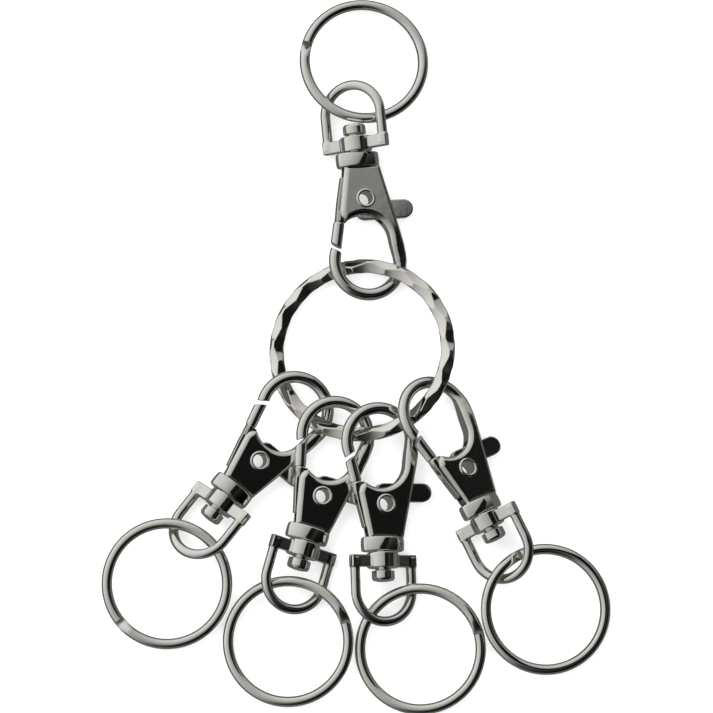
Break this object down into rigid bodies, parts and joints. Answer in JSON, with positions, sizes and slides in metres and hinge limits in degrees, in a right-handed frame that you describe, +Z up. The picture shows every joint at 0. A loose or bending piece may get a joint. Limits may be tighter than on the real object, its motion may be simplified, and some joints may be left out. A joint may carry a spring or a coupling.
{
  "type": "swivel clasp key holder",
  "caption": "Key holder laid flat: a large wave-cut split ring carrying swivel trigger clasps, each with a small split ring on its bail.",
  "frame": {"origin": "middle of the whole object's plan, at table height", "axes": "+Z up from the table, +Y towards the upper clasp and its ring, +X to the right of it"},
  "size_m": [0.0972, 0.1394, 0.0094],
  "materials": {
    "main_ring": "polished nickel plate",
    "key_rings": "polished nickel plate",
    "hook_bodies": "polished nickel plate over zinc",
    "gate_levers": "polished nickel plate over zinc",
    "rivets": "polished",
    "springs": "drawn spring wire",
    "swivel_pins": "polished",
    "bails": "polished nickel plate over zinc"
  },
  "bodies": {
    "main_ring": {"main_ring": "main_ring"},
    "top_clasp": {"top_hook_body": "hook_bodies", "top_lever_rivet": "rivets", "top_lever_spring": "springs", "top_swivel_pin": "swivel_pins"},
    "top_lever": {"top_gate_lever": "gate_levers"},
    "top_bail": {"top_swivel_bail": "bails"},
    "top_key_ring": {"top_key_ring": "key_rings"},
    "left_clasp": {"left_hook_body": "hook_bodies", "left_lever_rivet": "rivets", "left_lever_spring": "springs", "left_swivel_pin": "swivel_pins"},
    "left_lever": {"left_gate_lever": "gate_levers"},
    "left_bail": {"left_swivel_bail": "bails"},
    "left_key_ring": {"left_key_ring": "key_rings"},
    "mid_left_clasp": {"mid_left_hook_body": "hook_bodies", "mid_left_lever_rivet": "rivets", "mid_left_lever_spring": "springs", "mid_left_swivel_pin": "swivel_pins"},
    "mid_left_lever": {"mid_left_gate_lever": "gate_levers"},
    "mid_left_bail": {"mid_left_swivel_bail": "bails"},
    "mid_left_key_ring": {"mid_left_key_ring": "key_rings"},
    "mid_right_clasp": {"mid_right_hook_body": "hook_bodies", "mid_right_lever_rivet": "rivets", "mid_right_lever_spring": "springs", "mid_right_swivel_pin": "swivel_pins"},
    "mid_right_lever": {"mid_right_gate_lever": "gate_levers"},
    "mid_right_bail": {"mid_right_swivel_bail": "bails"},
    "mid_right_key_ring": {"mid_right_key_ring": "key_rings"},
    "right_clasp": {"right_hook_body": "hook_bodies", "right_lever_rivet": "rivets", "right_lever_spring": "springs", "right_swivel_pin": "swivel_pins"},
    "right_lever": {"right_gate_lever": "gate_levers"},
    "right_bail": {"right_swivel_bail": "bails"},
    "right_key_ring": {"right_key_ring": "key_rings"}
  },
  "joints": [
    {"name": "top_clasp_round_ring", "type": "hinge", "parent": "main_ring", "child": "top_clasp", "pos_m": [0.00117, 0.00033, 0.00397], "axis": [-0.1406, 0.0628, 0.9881], "range_deg": [-40, 40]},
    {"name": "top_lever_open", "type": "hinge", "parent": "top_clasp", "child": "top_lever", "pos_m": [0.0015, 0.02988, 0.00354], "axis": [0.2418, -0.0189, 0.9701], "range_deg": [0, 18], "stiffness_Nm_per_rad": 0.012, "springref_deg": -28.65, "deforming": ["top_lever_spring"]},
    {"name": "top_bail_swivel", "type": "hinge", "parent": "top_clasp", "child": "top_bail", "pos_m": [-0.00017, 0.04176, 0.00419], "axis": [-0.0989, 0.9941, 0.0441], "continuous": true},
    {"name": "top_key_ring_turn", "type": "hinge", "parent": "top_bail", "child": "top_key_ring", "pos_m": [0.00152, 0.05728, 0.00285], "axis": [0.0954, 0.0958, 0.9908], "continuous": true},
    {"name": "left_clasp_round_ring", "type": "hinge", "parent": "main_ring", "child": "left_clasp", "pos_m": [0.00117, 0.00033, 0.00397], "axis": [-0.1406, 0.0628, 0.9881], "range_deg": [-60, 0]},
    {"name": "left_lever_open", "type": "hinge", "parent": "left_clasp", "child": "left_lever", "pos_m": [-0.01875, -0.02117, 0.0036], "axis": [-0.2245, 0.1251, -0.9664], "range_deg": [0, 18], "stiffness_Nm_per_rad": 0.012, "springref_deg": -28.65, "deforming": ["left_lever_spring"]},
    {"name": "left_bail_swivel", "type": "hinge", "parent": "left_clasp", "child": "left_bail", "pos_m": [-0.02649, -0.03033, 0.00422], "axis": [-0.6137, -0.7885, 0.0405], "continuous": true},
    {"name": "left_key_ring_turn", "type": "hinge", "parent": "left_bail", "child": "left_key_ring", "pos_m": [-0.03608, -0.04477, 0.00291], "axis": [-0.0225, -0.1374, 0.9903], "continuous": true},
    {"name": "mid_left_clasp_lift", "type": "hinge", "parent": "main_ring", "child": "mid_left_clasp", "pos_m": [-0.0036, -0.01557, 0.0043], "axis": [-0.9475, 0.2808, -0.1527], "range_deg": [0, 4]},
    {"name": "mid_left_lever_open", "type": "hinge", "parent": "mid_left_clasp", "child": "mid_left_lever", "pos_m": [-0.00676, -0.0281, 0.00393], "axis": [-0.2188, 0.0784, -0.9726], "range_deg": [0, 18], "stiffness_Nm_per_rad": 0.012, "springref_deg": -28.65, "deforming": ["mid_left_lever_spring"]},
    {"name": "mid_left_bail_swivel", "type": "hinge", "parent": "mid_left_clasp", "child": "mid_left_bail", "pos_m": [-0.01046, -0.03952, 0.00385], "axis": [-0.2694, -0.9629, -0.017], "range_deg": [-120, 120]},
    {"name": "mid_left_key_ring_turn", "type": "hinge", "parent": "mid_left_bail", "child": "mid_left_key_ring", "pos_m": [-0.01293, -0.05582, 0.00246], "axis": [-0.0539, -0.0854, 0.9949], "continuous": true},
    {"name": "mid_right_clasp_lift", "type": "hinge", "parent": "main_ring", "child": "mid_right_clasp", "pos_m": [0.00303, -0.01611, 0.00528], "axis": [-0.9837, -0.1219, -0.1323], "range_deg": [0, 6]},
    {"name": "mid_right_lever_open", "type": "hinge", "parent": "mid_right_clasp", "child": "mid_right_lever", "pos_m": [0.0053, -0.0297, 0.00438], "axis": [-0.2987, 0.0329, -0.9538], "range_deg": [0, 18], "stiffness_Nm_per_rad": 0.012, "springref_deg": -28.65, "deforming": ["mid_right_lever_spring"]},
    {"name": "mid_right_bail_swivel", "type": "hinge", "parent": "mid_right_clasp", "child": "mid_right_bail", "pos_m": [0.00516, -0.0417, 0.00401], "axis": [0.0284, -0.9987, -0.0433], "range_deg": [-120, 120]},
    {"name": "mid_right_key_ring_turn", "type": "hinge", "parent": "mid_right_bail", "child": "mid_right_key_ring", "pos_m": [0.01227, -0.05727, 0.00246], "axis": [-0.033, -0.0941, 0.995], "continuous": true},
    {"name": "right_clasp_round_ring", "type": "hinge", "parent": "main_ring", "child": "right_clasp", "pos_m": [0.00117, 0.00033, 0.00397], "axis": [-0.1406, 0.0628, 0.9881], "range_deg": [0, 60]},
    {"name": "right_lever_open", "type": "hinge", "parent": "right_clasp", "child": "right_lever", "pos_m": [0.02072, -0.02312, 0.0048], "axis": [-0.4136, -0.1635, -0.8956], "range_deg": [0, 18], "stiffness_Nm_per_rad": 0.012, "springref_deg": -28.65, "deforming": ["right_lever_spring"]},
    {"name": "right_bail_swivel", "type": "hinge", "parent": "right_clasp", "child": "right_bail", "pos_m": [0.02559, -0.03409, 0.00455], "axis": [0.4395, -0.8974, -0.0391], "range_deg": [-140, 140]},
    {"name": "right_key_ring_turn", "type": "hinge", "parent": "right_bail", "child": "right_key_ring", "pos_m": [0.03617, -0.04972, 0.00299], "axis": [0.1197, -0.0854, 0.9891], "continuous": true}
  ]
}
